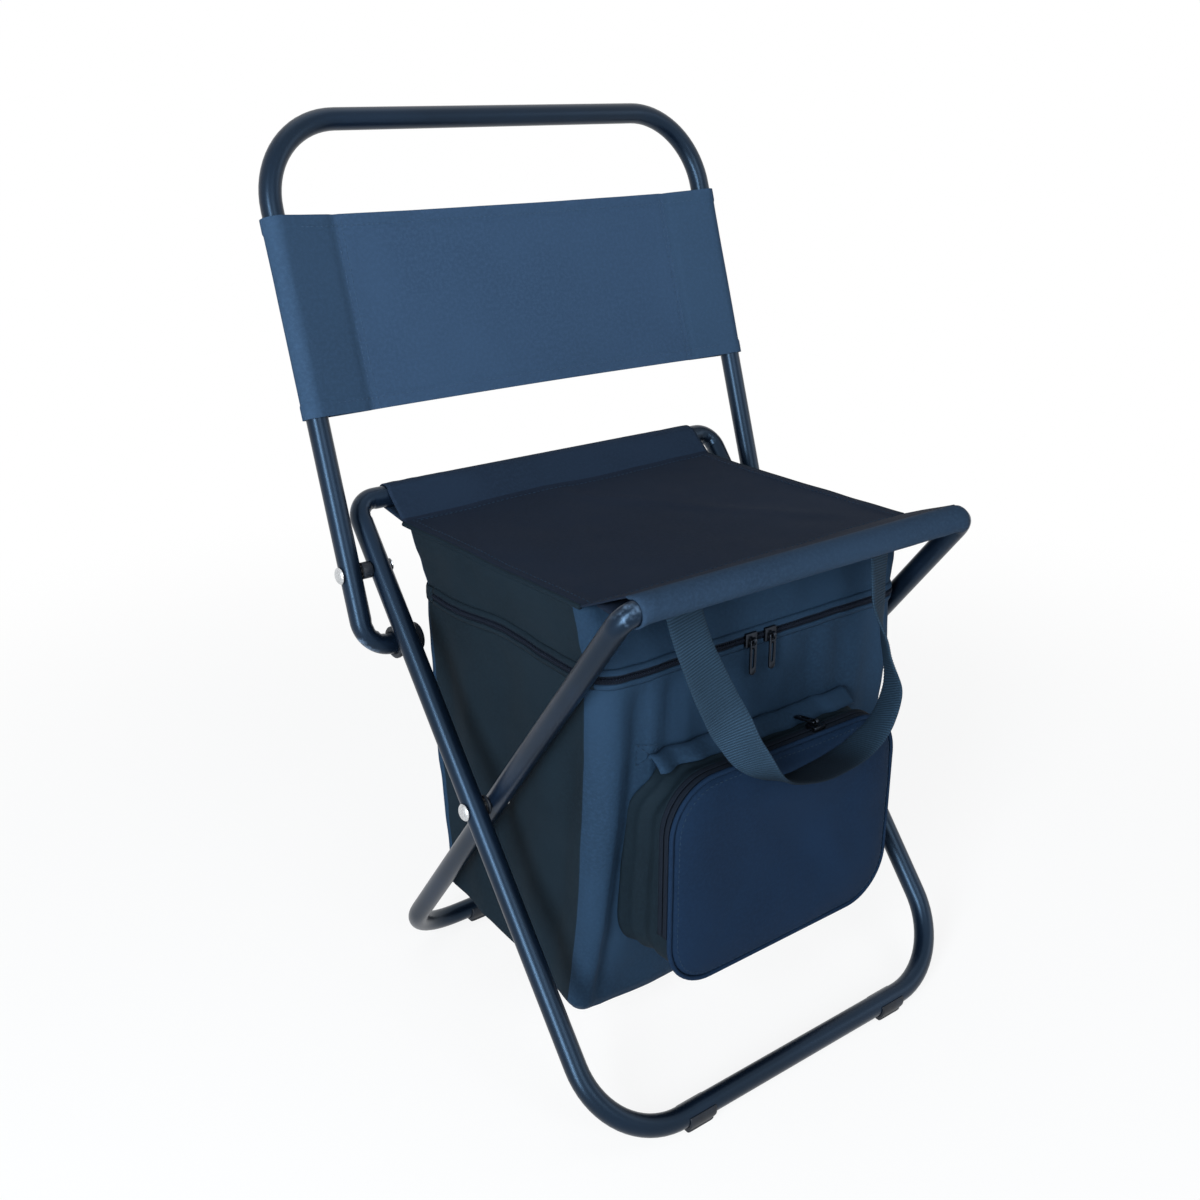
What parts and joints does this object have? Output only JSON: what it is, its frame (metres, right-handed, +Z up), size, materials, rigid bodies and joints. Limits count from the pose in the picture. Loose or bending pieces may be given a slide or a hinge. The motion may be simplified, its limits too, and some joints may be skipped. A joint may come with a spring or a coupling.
{
  "type": "folding chair with cooler bag",
  "caption": "Low folding chair on crossed tube legs, with a fold-down back and a zipped, insulated cooler bag with front pocket and webbing handle under its cloth seat.",
  "frame": {"origin": "on the floor, under the middle of the chair's bounding box", "axes": "+Z up; -Y is the chair's front, where the pocket and handle are; +X to the right as seen from the front"},
  "size_m": [0.3678, 0.3496, 0.5844],
  "materials": {
    "frame_paint": "satin powder coat, near black with a blue cast",
    "rivet_steel": "bright rivet heads",
    "black_plastic": "moulded, matte",
    "back_cloth": "plain woven polyester, mid blue",
    "seat_cloth": "plain woven polyester, near black navy",
    "bag_cloth": "plain woven polyester, dark navy",
    "pocket_cloth": "plain woven polyester over thin foam, dark navy",
    "webbing": "ribbed polyester webbing, slate blue",
    "foil_lining": "aluminised film on foam",
    "base_board": "stiff sheet",
    "zip_tape": "woven tape with a nylon coil",
    "slider_metal": "dark lacquered zinc"
  },
  "bodies": {
    "outer_legs": {"outer_leg_frame": "frame_paint", "scissor_rivet_left": "rivet_steel", "scissor_rivet_right": "rivet_steel", "scissor_washer_left": "black_plastic", "scissor_washer_right": "black_plastic", "back_rivet_left": "rivet_steel", "back_rivet_right": "rivet_steel", "back_spacer_left": "black_plastic", "back_spacer_right": "black_plastic", "foot_front_left": "black_plastic", "foot_front_right": "black_plastic", "seat_panel": "seat_cloth", "bag_shell": "bag_cloth", "bag_liner": "foil_lining", "base_board": "base_board", "bag_top_band": "bag_cloth", "lid_liner": "foil_lining", "main_zipper": "zip_tape", "bag_hinge_strip": "bag_cloth", "pocket_shell": "pocket_cloth", "pocket_front": "pocket_cloth", "pocket_piping": "pocket_cloth", "pocket_zipper": "zip_tape"},
    "inner_legs": {"inner_leg_frame": "frame_paint", "foot_rear_left": "black_plastic", "foot_rear_right": "black_plastic"},
    "back": {"back_frame": "frame_paint", "hook_cap_left": "black_plastic", "hook_cap_right": "black_plastic", "back_panel": "back_cloth"},
    "left_slider": {"main_slider_left": "slider_metal"},
    "left_pull": {"main_pull_left": "slider_metal"},
    "right_slider": {"main_slider_right": "slider_metal"},
    "right_pull": {"main_pull_right": "slider_metal"},
    "pocket_slider_body": {"pocket_slider": "slider_metal"},
    "pocket_pull_body": {"pocket_pull": "slider_metal"},
    "handle": {"carry_handle": "webbing"}
  },
  "joints": [
    {"name": "leg_fold", "type": "hinge", "parent": "outer_legs", "child": "inner_legs", "pos_m": [0, -0.02226, 0.18114], "axis": [-1, 0, 0], "range_deg": [0, 68], "deforming": ["seat_panel"]},
    {"name": "back_fold", "type": "hinge", "parent": "outer_legs", "child": "back", "pos_m": [0, 0.08093, 0.31041], "axis": [1, 0, 0], "range_deg": [0, 85]},
    {"name": "left_slider_slide", "type": "slide", "parent": "outer_legs", "child": "left_slider", "axis": [-1, 0, 0], "range_m": [0, 0.09]},
    {"name": "left_pull_swing", "type": "hinge", "parent": "left_slider", "child": "left_pull", "pos_m": [-0.013, -0.11706, 0.28903], "axis": [-1, 0, 0], "range_deg": [0, 100]},
    {"name": "right_slider_slide", "type": "slide", "parent": "outer_legs", "child": "right_slider", "axis": [1, 0, 0], "range_m": [0, 0.1]},
    {"name": "right_pull_swing", "type": "hinge", "parent": "right_slider", "child": "right_pull", "pos_m": [0.003, -0.11706, 0.28903], "axis": [-1, 0, 0], "range_deg": [0, 100]},
    {"name": "pocket_slider_slide", "type": "slide", "parent": "outer_legs", "child": "pocket_slider_body", "axis": [1, 0, 0], "range_m": [-0.08, 0.028]},
    {"name": "pocket_pull_swing", "type": "hinge", "parent": "pocket_slider_body", "child": "pocket_pull_body", "pos_m": [0.025, -0.13554, 0.2313], "axis": [1, 0, 0], "range_deg": [0, 100]},
    {"name": "handle_swing", "type": "hinge", "parent": "outer_legs", "child": "handle", "pos_m": [0, -0.12922, 0.33883], "axis": [-1, 0, 0], "range_deg": [0, 70]}
  ]
}
